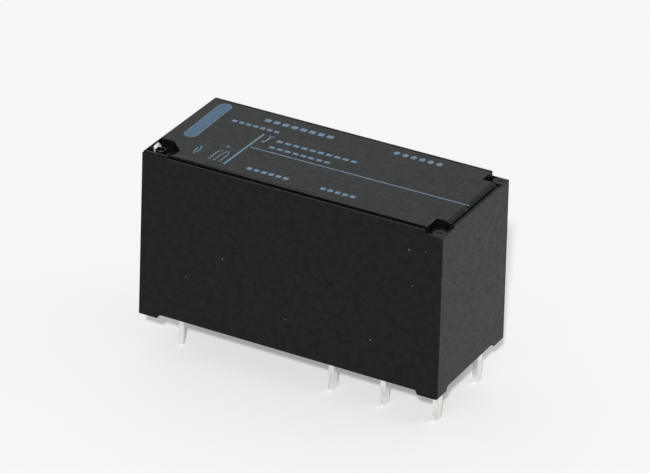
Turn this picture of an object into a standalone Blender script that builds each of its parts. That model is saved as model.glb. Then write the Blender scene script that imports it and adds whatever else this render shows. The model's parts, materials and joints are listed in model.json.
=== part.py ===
"""Sealed power relay for printed circuit boards, with one changeover contact.

Units are metres, Z is up, X runs from the coil pins to the contact pins.
The origin is the centre of the case's footprint at the level of the pin tips.
The relay is drawn at rest: coil off, moving contact on the normally closed contact.
"""
import math

import bmesh
import bpy
from mathutils import Matrix, Vector

MM = 0.001

# Pins and their grid
PIN_LENGTH = 3.5 * MM
PIN_ROW_SPACING = 7.5 * MM
NC_PIN_PITCH = 15.0 * MM
CONTACT_PIN_STEP = 5.0 * MM
COIL_PIN_RADIUS = 0.25 * MM
TERMINAL_THICKNESS = 0.5 * MM
TERMINAL_PIN_WIDTH = 0.8 * MM
PIN_TIP_LENGTH = 0.3 * MM
PIN_TIP_SCALE = 0.5

# Case, fitted round the pin grid
COIL_PIN_INSET = 2.84 * MM
NO_PIN_INSET = 1.16 * MM
PIN_ROW_INSET = 2.6 * MM
CASE_DRAFT = 0.18 * MM
CASE_WALL = 0.7 * MM
CASE_ROOF = 1.0 * MM
CASE_CORNER_RADIUS = 0.15 * MM
CASE_EDGE_RADIUS = 0.08 * MM
FOOT_LENGTH = 1.85 * MM
FOOT_HEIGHT = 0.38 * MM
FOOT_SLANT = 0.2 * MM

# Band round the top of the walls, which stands in a little from them
BAND_INSET = 0.05 * MM
BAND_HEIGHT = 0.6 * MM
BAND_HEIGHT_RIGHT = 0.3 * MM
BAND_SLOPE = 0.04 * MM

# Marking face on the roof, with a groove on three sides and lower rims in front and at the right
GROOVE_INSET = 0.42 * MM
GROOVE_WIDTH = 0.2 * MM
GROOVE_DEPTH = 0.4 * MM
RIM_DROP = 0.1 * MM

# Vent pocket in the roof, measured from the case's left and front faces
POCKET_LEFT_RIM = 0.17 * MM
POCKET_LENGTH = 2.38 * MM
POCKET_WIDTH = 2.64 * MM
POCKET_CHAMFER = 1.28 * MM
POCKET_SMALL_CHAMFER = 0.38 * MM
POCKET_DEPTH = 0.8 * MM
VENT_RING_RADIUS = 0.5 * MM
VENT_BORE_RADIUS = 0.36 * MM
VENT_RING_HEIGHT = 0.65 * MM
VENT_OFFSET_X = 1.1 * MM
VENT_OFFSET_Y = 1.4 * MM

# Lowered right-hand corners of the roof, each with a pit round a post that joins the outer walls
NOTCH_LENGTH = 1.6 * MM
NOTCH_WIDTH = 2.0 * MM
NOTCH_DROP = 0.45 * MM
PIT_DEPTH = 0.8 * MM
PIT_WALL = 0.2 * MM
POST_RADIUS = 0.62 * MM
POST_DIMPLE_RADIUS = 0.22 * MM
POST_DIMPLE_DEPTH = 0.15 * MM

# Fits
SEAT_GAP = 0.05 * MM
PIN_FIT = 0.03 * MM
SLIDE_GAP = 0.1 * MM

# Base and resin under it
BASE_RECESS = 0.22 * MM
RESIN_THICKNESS = 0.75 * MM
BASE_THICKNESS = 1.4 * MM
BARRIER_THICKNESS = 0.8 * MM
BARRIER_GAP = 0.3 * MM
BARRIER_TO_NC = 0.84 * MM

# Magnet system
POLE_OFFSET = 0.46 * MM
YOKE_THICKNESS = 1.3 * MM
YOKE_BEND_RADIUS = 0.05 * MM
YOKE_TOP_GAP = 0.9 * MM
CORE_RADIUS = 2.0 * MM
POLE_SHOE_RADIUS = 3.1 * MM
POLE_SHOE_THICKNESS = 0.75 * MM
CORE_TAIL_RADIUS = 1.5 * MM
CORE_HEAD_RADIUS = 1.8 * MM
CORE_HEAD_THICKNESS = 0.25 * MM
BARREL_WALL = 0.4 * MM
WINDING_THICKNESS = 1.45 * MM
WINDING_MARGIN = 0.525 * MM
FLANGE_THICKNESS = 0.85 * MM
FLANGE_LEG = 0.55 * MM
FLANGE_RADIUS = 0.6 * MM
COIL_SIDE_GAP = 0.67 * MM
BOSS_PIN_WALL = 1.0 * MM
BOSS_LENGTH = 1.95 * MM
BOSS_HEIGHT = 2.8 * MM
POST_ABOVE_BOSS = 1.2 * MM

# Armature and its leaf spring
ARMATURE_THICKNESS = 1.2 * MM
ARMATURE_TAB_WIDTH = 2.4 * MM
ARMATURE_OPENING = math.radians(4.0)
ARMATURE_PIN_GAP = 0.2 * MM
LEAF_THICKNESS = 0.12 * MM
LEAF_MARGIN = 0.3 * MM
LEAF_GRIP_LENGTH = 1.6 * MM
LEAF_HEIGHT = 2.9 * MM
LEAF_BEND_RADIUS = 0.2 * MM
LEAF_CLEARANCE = 0.11 * MM

# Card between the armature and the moving spring
CARD_THICKNESS = 0.8 * MM
CARD_WIDTH = 6.0 * MM
CARD_NOSE_WIDTH = 3.2 * MM
CARD_NOSE_LENGTH = 2.4 * MM
CARD_NOSE_CHAMFER = 0.2 * MM
CARD_PRONG_LENGTH = 1.1 * MM
CARD_WINDOW_LENGTH = 7.0 * MM
CARD_WINDOW_WIDTH = 3.0 * MM
CARD_ROOF_GAP = 0.43 * MM
GUIDE_WIDTH = 0.6 * MM
GUIDE_HEIGHT = 0.6 * MM

# Contacts
SPRING_THICKNESS = 0.2 * MM
SPRING_FOOT_WIDTH = 6.0 * MM
SPRING_TIP_WIDTH = 4.2 * MM
SPRING_ROOF_GAP = 0.28 * MM
SPRING_FOOT_DROP = 1.7 * MM
COM_PLATE_WIDTH = 6.8 * MM
COM_PLATE_HEIGHT = 2.3 * MM
COM_SHOULDER_HEIGHT = 0.7 * MM
RIVET_SPACING = 3.2 * MM
RIVET_RADIUS = 0.4 * MM
RIVET_HEAD_RADIUS = 0.7 * MM
RIVET_HEAD_THICKNESS = 0.3 * MM
RIVET_DEPTH = 0.9 * MM
FLEX_GAP = 0.16 * MM
FLEX_FIT = 0.1 * MM
CONTACT_EDGE = 1.75 * MM
CONTACT_RADIUS = 1.3 * MM
CONTACT_THICKNESS = 0.5 * MM
CONTACT_DOME = 0.14 * MM
CONTACT_SHANK_RADIUS = 0.55 * MM
CONTACT_TAIL_RADIUS = 0.9 * MM
CONTACT_TAIL_THICKNESS = 0.25 * MM
MOVING_CONTACT_RADIUS = 1.2 * MM
MOVING_CONTACT_THICKNESS = 0.45 * MM
UPRIGHT_WIDTH = 4.6 * MM
UPRIGHT_CARD_GAP = 1.02 * MM
STRAP_HEIGHT = 0.5 * MM
STRAP_BEND_RADIUS = 0.2 * MM

# Smoothness of round forms
CORNER_STEPS = 5
EDGE_STEPS = 3
BEND_STEPS = 4
TURN_STEPS = 28
SMALL_TURN_STEPS = 16
OVERSHOOT = 0.5 * MM

# Case over its pin grid, and the round coil
BODY_LENGTH = COIL_PIN_INSET + NC_PIN_PITCH + 2 * CONTACT_PIN_STEP + NO_PIN_INSET
BODY_WIDTH = PIN_ROW_SPACING + 2 * PIN_ROW_INSET
BARREL_RADIUS = CORE_RADIUS + SEAT_GAP + BARREL_WALL
WINDING_RADIUS = BARREL_RADIUS + SEAT_GAP + WINDING_THICKNESS

# Levels, from the pin tips up to the top of the case, 15.7 mm above its feet
FEET_Z = PIN_LENGTH
RESIN_Z = FEET_Z + FOOT_HEIGHT + BASE_RECESS
BASE_Z = RESIN_Z + RESIN_THICKNESS + SEAT_GAP
FLOOR_Z = BASE_Z + BASE_THICKNESS
SEAT_Z = FLOOR_Z + SEAT_GAP
YOKE_Z = SEAT_Z + LEAF_THICKNESS + 2 * SEAT_GAP
HINGE_Z = YOKE_Z + SEAT_GAP
BOSS_TOP_Z = SEAT_Z + BOSS_HEIGHT
COIL_PIN_TOP_Z = BOSS_TOP_Z + POST_ABOVE_BOSS
COM_TOP_Z = SEAT_Z + COM_PLATE_HEIGHT
BOBBIN_Z = YOKE_Z + YOKE_THICKNESS + SEAT_GAP
COIL_Z = BOBBIN_Z + WINDING_MARGIN + WINDING_RADIUS
BOBBIN_TOP_Z = COIL_Z + WINDING_RADIUS + WINDING_MARGIN
YOKE_TOP_Z = BOBBIN_TOP_Z - YOKE_TOP_GAP
CARD_Z = BOBBIN_TOP_Z + SLIDE_GAP
PUSH_Z = CARD_Z + CARD_THICKNESS / 2
UPRIGHT_TOP_Z = CARD_Z - UPRIGHT_CARD_GAP
CONTACT_Z = UPRIGHT_TOP_Z - CONTACT_EDGE
ROOF_Z = CARD_Z + CARD_THICKNESS + CARD_ROOF_GAP
TOP_Z = ROOF_Z + CASE_ROOF

# Places along X, from the coil end to the barrier
COIL_PIN_X = COIL_PIN_INSET - BODY_LENGTH / 2
POLE_X = COIL_PIN_X + POLE_OFFSET
HINGE_X = POLE_X - SEAT_GAP
FLANGE_LEFT_X = POLE_X + POLE_SHOE_THICKNESS + SEAT_GAP
WINDING_LEFT_X = FLANGE_LEFT_X + FLANGE_THICKNESS + SEAT_GAP

# Places along X, from the contact pins back to the coil
NC_PIN_X = COIL_PIN_X + NC_PIN_PITCH
COM_PIN_X = NC_PIN_X + CONTACT_PIN_STEP
NO_PIN_X = COM_PIN_X + CONTACT_PIN_STEP
BARRIER_X = NC_PIN_X - TERMINAL_THICKNESS / 2 - BARRIER_TO_NC - BARRIER_THICKNESS
YOKE_OUTER_X = BARRIER_X - BARRIER_GAP - CORE_HEAD_THICKNESS - SEAT_GAP
YOKE_LEG_X = YOKE_OUTER_X - YOKE_THICKNESS
FLANGE_RIGHT_X = YOKE_LEG_X - SEAT_GAP - FLANGE_THICKNESS
WINDING_RIGHT_X = FLANGE_RIGHT_X - SEAT_GAP
SPRING_RIGHT_X = COM_PIN_X - TERMINAL_THICKNESS / 2 - SEAT_GAP
SPRING_LEFT_X = SPRING_RIGHT_X - SPRING_THICKNESS

# Widths and radii that follow from the ones above
PIN_Y = PIN_ROW_SPACING / 2
FLANGE_WIDTH = BODY_WIDTH - 2 * (CASE_WALL + CASE_DRAFT + COIL_SIDE_GAP)
YOKE_WIDTH = FLANGE_WIDTH - 2 * (FLANGE_LEG + SEAT_GAP)
YOKE_END_WIDTH = 2 * (PIN_Y - BOSS_PIN_WALL - SEAT_GAP)
ARMATURE_WIDTH = 2 * POLE_SHOE_RADIUS
ARMATURE_FOOT_WIDTH = YOKE_END_WIDTH - 2 * SLIDE_GAP
LEAF_WIDTH = YOKE_END_WIDTH - 2 * LEAF_MARGIN

# Motion: the armature turns, the card slides and the spring bends at its clamp
PUSH_TRAVEL = (PUSH_Z - HINGE_Z) * math.tan(ARMATURE_OPENING)
SPRING_BEND = math.atan(PUSH_TRAVEL / (PUSH_Z - COM_TOP_Z))
CONTACT_TRAVEL = (CONTACT_Z - COM_TOP_Z) * math.tan(SPRING_BEND)
CARD_LEFT_X = HINGE_X - PUSH_TRAVEL + SEAT_GAP
CARD_RIGHT_X = SPRING_LEFT_X - SEAT_GAP
NC_FACE_X = SPRING_LEFT_X - MOVING_CONTACT_THICKNESS - SEAT_GAP
NO_FACE_X = SPRING_RIGHT_X + MOVING_CONTACT_THICKNESS + CONTACT_TRAVEL + 2 * SEAT_GAP
NC_PLATE_X = NC_FACE_X - CONTACT_THICKNESS - SEAT_GAP - TERMINAL_THICKNESS / 2
NO_PLATE_X = NO_FACE_X + CONTACT_THICKNESS + SEAT_GAP + TERMINAL_THICKNESS / 2


def clear_scene():
    """Remove whatever objects the file starts with."""
    for item in list(bpy.data.objects):
        bpy.data.objects.remove(item, do_unlink=True)


def make_material(name, color, roughness, metallic):
    """A plain Principled material."""
    material = bpy.data.materials.new(name)
    material.use_nodes = True
    shader = material.node_tree.nodes["Principled BSDF"]
    shader.inputs["Base Color"].default_value = (*color, 1.0)
    shader.inputs["Roughness"].default_value = roughness
    shader.inputs["Metallic"].default_value = metallic
    return material


def make_materials():
    """One material for each kind of stuff the relay is made of."""
    return {
        "case_plastic": make_material("case_plastic", (0.025, 0.027, 0.028), 0.45, 0.0),
        "base_plastic": make_material("base_plastic", (0.03, 0.03, 0.032), 0.5, 0.0),
        "resin": make_material("resin", (0.05, 0.045, 0.04), 0.35, 0.0),
        "bobbin_plastic": make_material("bobbin_plastic", (0.75, 0.73, 0.66), 0.5, 0.0),
        "card_plastic": make_material("card_plastic", (0.82, 0.8, 0.74), 0.5, 0.0),
        "enamelled_copper": make_material("enamelled_copper", (0.62, 0.24, 0.09), 0.35, 0.8),
        "soft_iron": make_material("soft_iron", (0.5, 0.5, 0.48), 0.35, 1.0),
        "tinned_copper": make_material("tinned_copper", (0.78, 0.77, 0.74), 0.3, 1.0),
        "copper_alloy": make_material("copper_alloy", (0.72, 0.47, 0.3), 0.3, 1.0),
        "spring_steel": make_material("spring_steel", (0.6, 0.6, 0.6), 0.25, 1.0),
        "silver_alloy": make_material("silver_alloy", (0.85, 0.84, 0.8), 0.25, 1.0),
    }


def finish_object(name, shape, material=None):
    """Turn a bmesh into an object whose faces point outwards."""
    bmesh.ops.recalc_face_normals(shape, faces=shape.faces)
    mesh = bpy.data.meshes.new(name)
    shape.to_mesh(mesh)
    shape.free()
    item = bpy.data.objects.new(name, mesh)
    bpy.context.scene.collection.objects.link(item)
    if material:
        mesh.materials.append(material)
    return item


def combine(target, tool, operation):
    """Cut or join one object with another, and use the other one up."""
    modifier = target.modifiers.new("combine", "BOOLEAN")
    modifier.operation = operation
    modifier.solver = "EXACT"
    modifier.object = tool
    bpy.context.view_layer.update()
    depsgraph = bpy.context.evaluated_depsgraph_get()
    result = bpy.data.meshes.new_from_object(target.evaluated_get(depsgraph))
    target.modifiers.clear()
    target.data = result
    bpy.data.objects.remove(tool, do_unlink=True)


def cut(target, *tools):
    """Take each tool's shape out of the target."""
    for tool in tools:
        combine(target, tool, "DIFFERENCE")


def join(target, *tools):
    """Fuse each tool's shape to the target."""
    for tool in tools:
        combine(target, tool, "UNION")


def soften(item, angle_deg=35.0):
    """Shade a round piece smooth and keep its real edges sharp."""
    item.data.shade_smooth()
    item.data.set_sharp_from_angle(angle=math.radians(angle_deg))


def rounded_rectangle(x0, x1, y0, y1, radius):
    """Points round a rectangle with round corners, anticlockwise."""
    centres = [(x1 - radius, y1 - radius, 0.0), (x0 + radius, y1 - radius, 0.5),
               (x0 + radius, y0 + radius, 1.0), (x1 - radius, y0 + radius, 1.5)]
    points = []
    for centre_x, centre_y, start in centres:
        for step in range(CORNER_STEPS + 1):
            angle = math.pi * (start + 0.5 * step / CORNER_STEPS)
            x = centre_x + radius * math.cos(angle)
            y = centre_y + radius * math.sin(angle)
            points.append((x, y))
    return points


def loft(name, sections, material=None):
    """A closed body through level sections, each given as a height and its outline."""
    shape = bmesh.new()
    rings = [[shape.verts.new((x, y, z)) for x, y in outline] for z, outline in sections]
    count = len(rings[0])
    for lower, upper in zip(rings, rings[1:]):
        for index in range(count):
            following = (index + 1) % count
            shape.faces.new((lower[index], lower[following], upper[following], upper[index]))
    shape.faces.new(reversed(rings[0]))
    shape.faces.new(rings[-1])
    return finish_object(name, shape, material)


def prism(name, outline, axis, start, end, material=None):
    """Extrude an outline along X, Y or Z between two places on that axis."""
    place = {
        "X": lambda u, v: (start, u, v),
        "Y": lambda u, v: (u, start, v),
        "Z": lambda u, v: (u, v, start),
    }[axis]
    direction = {"X": Vector((1, 0, 0)), "Y": Vector((0, 1, 0)), "Z": Vector((0, 0, 1))}[axis]
    shape = bmesh.new()
    face = shape.faces.new([shape.verts.new(place(u, v)) for u, v in outline])
    extruded = bmesh.ops.extrude_face_region(shape, geom=[face])
    moved = [item for item in extruded["geom"] if isinstance(item, bmesh.types.BMVert)]
    bmesh.ops.translate(shape, verts=moved, vec=direction * (end - start))
    return finish_object(name, shape, material)


def block(name, x0, x1, y0, y1, z0, z1, material=None):
    """A plain box between two corners."""
    outline = [(x0, y0), (x1, y0), (x1, y1), (x0, y1)]
    return prism(name, outline, "Z", z0, z1, material)


def turned(name, profile, origin, axis, steps, material=None, ring=False):
    """Spin a profile of (place along the axis, radius) points round an axis."""
    shape = bmesh.new()
    verts = [shape.verts.new((radius, 0.0, along)) for along, radius in profile]
    edges = [shape.edges.new(pair) for pair in zip(verts, verts[1:])]
    if ring:
        edges.append(shape.edges.new((verts[-1], verts[0])))
    bmesh.ops.spin(shape, geom=verts + edges, cent=(0, 0, 0), axis=(0, 0, 1),
                   angle=2 * math.pi, steps=steps, use_merge=True)
    bmesh.ops.remove_doubles(shape, verts=shape.verts, dist=0.0001 * MM)
    if axis == "X":
        shape.transform(Matrix.Rotation(math.pi / 2, 4, "Y"))
    shape.transform(Matrix.Translation(origin))
    item = finish_object(name, shape, material)
    soften(item)
    return item


def rod(name, radius, origin, axis, start, end, steps=SMALL_TURN_STEPS):
    """A plain round tool for holes."""
    profile = [(start, 0.0), (start, radius), (end, radius), (end, 0.0)]
    return turned(name, profile, origin, axis, steps)


def bent_strip(path, thickness, bend_radius):
    """Outline of a sheet strip that follows a path with rounded bends."""
    left = []
    right = []
    points = [Vector(point) for point in path]
    middle = bend_radius + thickness / 2
    for index, point in enumerate(points):
        before = (point - points[index - 1]).normalized() if index else None
        after = (points[index + 1] - point).normalized() if index + 1 < len(points) else None
        if before is None or after is None:
            along = after or before
            side = Vector((-along.y, along.x)) * thickness / 2
            left.append(point + side)
            right.append(point - side)
            continue
        bend = math.atan2(before.cross(after), before.dot(after))
        turn = 1.0 if bend > 0 else -1.0
        centre = point - before * middle * math.tan(abs(bend) / 2)
        centre = centre + Vector((-before.y, before.x)) * turn * middle
        spoke = Vector((before.y, -before.x)) * turn
        for step in range(BEND_STEPS + 1):
            direction = Matrix.Rotation(bend * step / BEND_STEPS, 2) @ spoke
            left.append(centre + direction * (middle - turn * thickness / 2))
            right.append(centre + direction * (middle + turn * thickness / 2))
    return [tuple(point) for point in right + left[::-1]]


def case_half_size(z, inset=0.0):
    """Half length and half width of the drafted case at a height, less an inset."""
    draft = CASE_DRAFT * (z - FEET_Z) / (TOP_Z - FEET_Z)
    return BODY_LENGTH / 2 - draft - inset, BODY_WIDTH / 2 - draft - inset


def case_section(z, inset=0.0, radius=CASE_CORNER_RADIUS):
    """Rounded outline of the case at a height."""
    half_x, half_y = case_half_size(z, inset)
    return z, rounded_rectangle(-half_x, half_x, -half_y, half_y, radius)


def fitted_plate(name, bottom, top, material):
    """A plate that fills the inside of the case between two levels."""
    inset = CASE_WALL + SEAT_GAP
    radius = max(CASE_CORNER_RADIUS - CASE_WALL, 2 * SEAT_GAP)
    sections = [case_section(bottom, inset, radius), case_section(top, inset, radius)]
    return loft(name, sections, material)


def wall_inset(z, band_height, edge_z):
    """How far a wall stands in at a height: above its band's step and round its upper edge."""
    inset = BAND_INSET if z > TOP_Z - band_height else 0.0
    rise = min(z - edge_z + CASE_EDGE_RADIUS, CASE_EDGE_RADIUS)
    if rise > 0:
        inset += CASE_EDGE_RADIUS - math.sqrt(CASE_EDGE_RADIUS ** 2 - rise ** 2)
    return inset


def banded_section(z):
    """Outline of the upper case at a height, with each wall's own band and edge."""
    half_x, half_y = case_half_size(z)
    plain = wall_inset(z, BAND_HEIGHT, TOP_Z)
    front = wall_inset(z, BAND_HEIGHT, TOP_Z - RIM_DROP)
    right = wall_inset(z, BAND_HEIGHT_RIGHT, TOP_Z - RIM_DROP)
    return z, rounded_rectangle(plain - half_x, half_x - right, front - half_y, half_y - plain,
                                CASE_CORNER_RADIUS)


def case_shell(material):
    """Drafted box with its band and rounded top edges, open below."""
    levels = []
    for band_height in (BAND_HEIGHT, BAND_HEIGHT_RIGHT):
        levels += [TOP_Z - band_height, TOP_Z - band_height + BAND_SLOPE]
    for edge_z in (TOP_Z - RIM_DROP, TOP_Z):
        for step in range(EDGE_STEPS + 1):
            angle = 0.5 * math.pi * step / EDGE_STEPS
            levels.append(edge_z - CASE_EDGE_RADIUS * (1 - math.sin(angle)))
    sections = [case_section(FEET_Z)] + [banded_section(z) for z in levels]
    shell = loft("cover", sections, material)
    inner_radius = max(CASE_CORNER_RADIUS - CASE_WALL, SEAT_GAP)
    cavity = [case_section(FEET_Z - OVERSHOOT, CASE_WALL, inner_radius),
              case_section(ROOF_Z, CASE_WALL, inner_radius)]
    cut(shell, loft("cavity", cavity))
    return shell


def groove_cutters():
    """Bars along the front, back and right edges of the marking face, and over the low rims."""
    half_x, half_y = case_half_size(TOP_Z, GROOVE_INSET)
    low = TOP_Z - GROOVE_DEPTH
    high = TOP_Z + OVERSHOOT
    outer_x = half_x + GROOVE_WIDTH
    outer_y = half_y + GROOVE_WIDTH
    pocket_end = pocket_outline()[1][0] - GROOVE_WIDTH
    front = block("groove", pocket_end, outer_x, -outer_y, -half_y, low, high)
    back = block("groove", -half_x, outer_x, half_y, outer_y, low, high)
    right = block("groove", half_x, outer_x, -outer_y, outer_y, low, high)
    rim_x = half_x + GROOVE_WIDTH / 2
    rim_y = half_y + GROOVE_WIDTH / 2
    far_x = BODY_LENGTH / 2 + OVERSHOOT
    far_y = BODY_WIDTH / 2 + OVERSHOOT
    rim_z = TOP_Z - RIM_DROP
    front_rim = block("rim", -far_x, far_x, -far_y, -rim_y, rim_z, high)
    right_rim = block("rim", rim_x, far_x, -rim_y, rim_y, rim_z, high)
    return front, back, right, front_rim, right_rim


def pocket_outline():
    """Six-sided outline of the vent pocket at the front left corner."""
    half_x, _ = case_half_size(TOP_Z)
    _, groove_y = case_half_size(TOP_Z, GROOVE_INSET)
    x0 = POCKET_LEFT_RIM - half_x
    x1 = x0 + POCKET_LENGTH
    y0 = -groove_y
    y1 = y0 + POCKET_WIDTH
    return [(x0, y0), (x1 - POCKET_SMALL_CHAMFER, y0), (x1, y0 + POCKET_SMALL_CHAMFER),
            (x1, y1 - POCKET_CHAMFER), (x1 - POCKET_CHAMFER, y1), (x0, y1)]


def vent_centre():
    """Place of the vent ring in its pocket."""
    half_x, half_y = case_half_size(TOP_Z)
    return Vector((VENT_OFFSET_X - half_x, VENT_OFFSET_Y - half_y, TOP_Z - POCKET_DEPTH))


def vent_ring():
    """Raised ring round the closed vent, standing on the pocket's floor."""
    lip = VENT_RING_RADIUS - VENT_BORE_RADIUS
    profile = [(-SEAT_GAP, 0.0), (-SEAT_GAP, VENT_RING_RADIUS),
               (VENT_RING_HEIGHT - lip / 2, VENT_RING_RADIUS),
               (VENT_RING_HEIGHT, VENT_RING_RADIUS - lip / 2),
               (VENT_RING_HEIGHT - lip / 2, VENT_BORE_RADIUS),
               (SEAT_GAP, VENT_BORE_RADIUS), (SEAT_GAP, 0.0)]
    return turned("vent_ring", profile, vent_centre(), "Z", SMALL_TURN_STEPS)


def corner_notch(side):
    """Tool that lowers a right-hand corner; side is -1 in front and 1 behind."""
    half_x, half_y = case_half_size(TOP_Z)
    inner = side * (half_y - NOTCH_WIDTH)
    outer = side * (half_y + OVERSHOOT)
    return block("notch", half_x - NOTCH_LENGTH, half_x + OVERSHOOT, min(inner, outer),
                 max(inner, outer), TOP_Z - NOTCH_DROP, TOP_Z + OVERSHOOT)


def corner_pit(side):
    """Tool for the pit inside a lowered corner, which leaves a round-nosed post and thin walls."""
    half_x, half_y = case_half_size(TOP_Z)
    start = math.asin(PIT_WALL / POST_RADIUS - 1)
    sweep = 0.5 * math.pi - 2 * start
    places = [(PIT_WALL, NOTCH_WIDTH), (NOTCH_LENGTH, NOTCH_WIDTH), (NOTCH_LENGTH, PIT_WALL)]
    for step in range(TURN_STEPS // 2 + 1):
        angle = start + sweep * step / (TURN_STEPS // 2)
        places.append((POST_RADIUS * (1 + math.cos(angle)), POST_RADIUS * (1 + math.sin(angle))))
    outline = [(half_x - u, side * (half_y - w)) for u, w in places]
    return prism("pit", outline, "Z", TOP_Z - PIT_DEPTH, TOP_Z + OVERSHOOT)


def post_dimple(side):
    """Tool for the dimple in the top of a corner post."""
    half_x, half_y = case_half_size(TOP_Z)
    origin = Vector((half_x - POST_RADIUS, side * (half_y - POST_RADIUS), TOP_Z - NOTCH_DROP))
    profile = [(-POST_DIMPLE_DEPTH, 0.0), (0.0, POST_DIMPLE_RADIUS),
               (OVERSHOOT, POST_DIMPLE_RADIUS), (OVERSHOOT, 0.0)]
    return turned("dimple", profile, origin, "Z", SMALL_TURN_STEPS)


def foot_cutters():
    """Slant-ended tools that leave a foot at each lower corner of the case."""
    z0 = FEET_Z - OVERSHOOT
    z1 = FEET_Z
    z2 = FEET_Z + FOOT_HEIGHT
    cutters = []
    for axis, half, reach in (("Y", BODY_LENGTH / 2, BODY_WIDTH), ("X", BODY_WIDTH / 2, BODY_LENGTH)):
        wide = half - FOOT_LENGTH
        narrow = wide - FOOT_SLANT
        outline = [(-wide, z0), (wide, z0), (wide, z1), (narrow, z2), (-narrow, z2), (-wide, z1)]
        cutters.append(prism("foot_gap", outline, axis, -reach, reach))
    return cutters


def make_cover(materials):
    """The case: one drafted moulding with its marking face, vent, notches and feet."""
    cover = case_shell(materials["case_plastic"])
    cut(cover, *groove_cutters())
    pocket_floor = TOP_Z - POCKET_DEPTH
    cut(cover, prism("pocket", pocket_outline(), "Z", pocket_floor, TOP_Z + OVERSHOOT))
    join(cover, vent_ring())
    for side in (-1, 1):
        cut(cover, corner_notch(side), corner_pit(side), post_dimple(side))
    cut(cover, *foot_cutters())
    soften(cover)
    return cover


def terminal_places():
    """The X of each contact terminal's pair of pins."""
    return NC_PIN_X, COM_PIN_X, NO_PIN_X


def pin_hole_cutters(z0, z1):
    """Tools for the eight pin holes through the base or the resin."""
    cutters = []
    half_x = TERMINAL_THICKNESS / 2 + SEAT_GAP
    half_y = TERMINAL_PIN_WIDTH / 2 + SEAT_GAP
    for y in (-PIN_Y, PIN_Y):
        origin = Vector((COIL_PIN_X, y, 0))
        cutters.append(rod("hole", COIL_PIN_RADIUS + SEAT_GAP, origin, "Z", z0, z1))
        for x in terminal_places():
            cutters.append(block("hole", x - half_x, x + half_x, y - half_y, y + half_y, z0, z1))
    return cutters


def barrier():
    """Insulating wall between the coil and the contacts."""
    inset = CASE_WALL + 2 * SEAT_GAP
    sections = []
    for z in (FLOOR_Z - SEAT_GAP, BOBBIN_TOP_Z):
        _, half_y = case_half_size(z, inset)
        x0 = BARRIER_X
        x1 = BARRIER_X + BARRIER_THICKNESS
        sections.append((z, [(x0, -half_y), (x1, -half_y), (x1, half_y), (x0, half_y)]))
    return loft("barrier", sections)


def make_base(materials):
    """Moulded base with the pin holes and the insulating barrier."""
    base = fitted_plate("base", BASE_Z, FLOOR_Z, materials["base_plastic"])
    join(base, barrier())
    cut(base, *pin_hole_cutters(BASE_Z - OVERSHOOT, FLOOR_Z + OVERSHOOT))
    return base


def make_resin(materials):
    """Sealing resin poured under the base, round the pins."""
    resin = fitted_plate("sealing_resin", RESIN_Z, BASE_Z - SEAT_GAP, materials["resin"])
    cut(resin, *pin_hole_cutters(RESIN_Z - OVERSHOOT, BASE_Z + OVERSHOOT))
    return resin


def flange_outline(notch_width):
    """End view of a bobbin flange, standing astride the yoke."""
    half = FLANGE_WIDTH / 2
    notch = notch_width / 2 + SEAT_GAP
    top = rounded_rectangle(-half, half, SEAT_Z, BOBBIN_TOP_Z, FLANGE_RADIUS)
    upper = [point for point in top if point[1] > COIL_Z]
    return upper + [(-half, SEAT_Z), (-notch, SEAT_Z), (-notch, BOBBIN_Z),
                    (notch, BOBBIN_Z), (notch, SEAT_Z), (half, SEAT_Z)]


def card_guides(x0, x1):
    """Two ribs on a flange that keep the card straight."""
    inner = CARD_WIDTH / 2 + SLIDE_GAP
    guides = []
    for side in (-1, 1):
        y0 = min(side * inner, side * (inner + GUIDE_WIDTH))
        top = BOBBIN_TOP_Z + GUIDE_HEIGHT
        guides.append(block("guide", x0, x1, y0, y0 + GUIDE_WIDTH, BOBBIN_TOP_Z - SEAT_GAP, top))
    return guides


def make_bobbin(materials):
    """Coil former with two flanges, pin bosses and card guides."""
    left_end = FLANGE_LEFT_X + FLANGE_THICKNESS
    right_end = FLANGE_RIGHT_X + FLANGE_THICKNESS
    bobbin = prism("bobbin", flange_outline(YOKE_END_WIDTH), "X", FLANGE_LEFT_X, left_end,
                   materials["bobbin_plastic"])
    axis = Vector((0, 0, COIL_Z))
    join(bobbin, rod("barrel", BARREL_RADIUS, axis, "X", left_end - SEAT_GAP,
                     FLANGE_RIGHT_X + SEAT_GAP, TURN_STEPS))
    join(bobbin, prism("flange", flange_outline(YOKE_WIDTH), "X", FLANGE_RIGHT_X, right_end))
    for side in (-1, 1):
        inner = YOKE_END_WIDTH / 2 + SEAT_GAP
        outer = FLANGE_WIDTH / 2
        y0 = min(side * inner, side * outer)
        join(bobbin, block("boss", left_end - SEAT_GAP - BOSS_LENGTH - FLANGE_THICKNESS,
                           left_end - SEAT_GAP, y0, y0 + outer - inner, SEAT_Z, BOSS_TOP_Z))
        origin = Vector((COIL_PIN_X, side * PIN_Y, 0))
        cut(bobbin, rod("hole", COIL_PIN_RADIUS + PIN_FIT, origin, "Z", FLOOR_Z,
                        BOSS_TOP_Z + OVERSHOOT))
    join(bobbin, *card_guides(FLANGE_LEFT_X + SEAT_GAP, left_end - SEAT_GAP))
    join(bobbin, *card_guides(FLANGE_RIGHT_X + SEAT_GAP, right_end - SEAT_GAP))
    cut(bobbin, rod("bore", CORE_RADIUS + SEAT_GAP, axis, "X", FLANGE_LEFT_X - OVERSHOOT,
                    right_end + OVERSHOOT, TURN_STEPS))
    soften(bobbin)
    return bobbin


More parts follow.
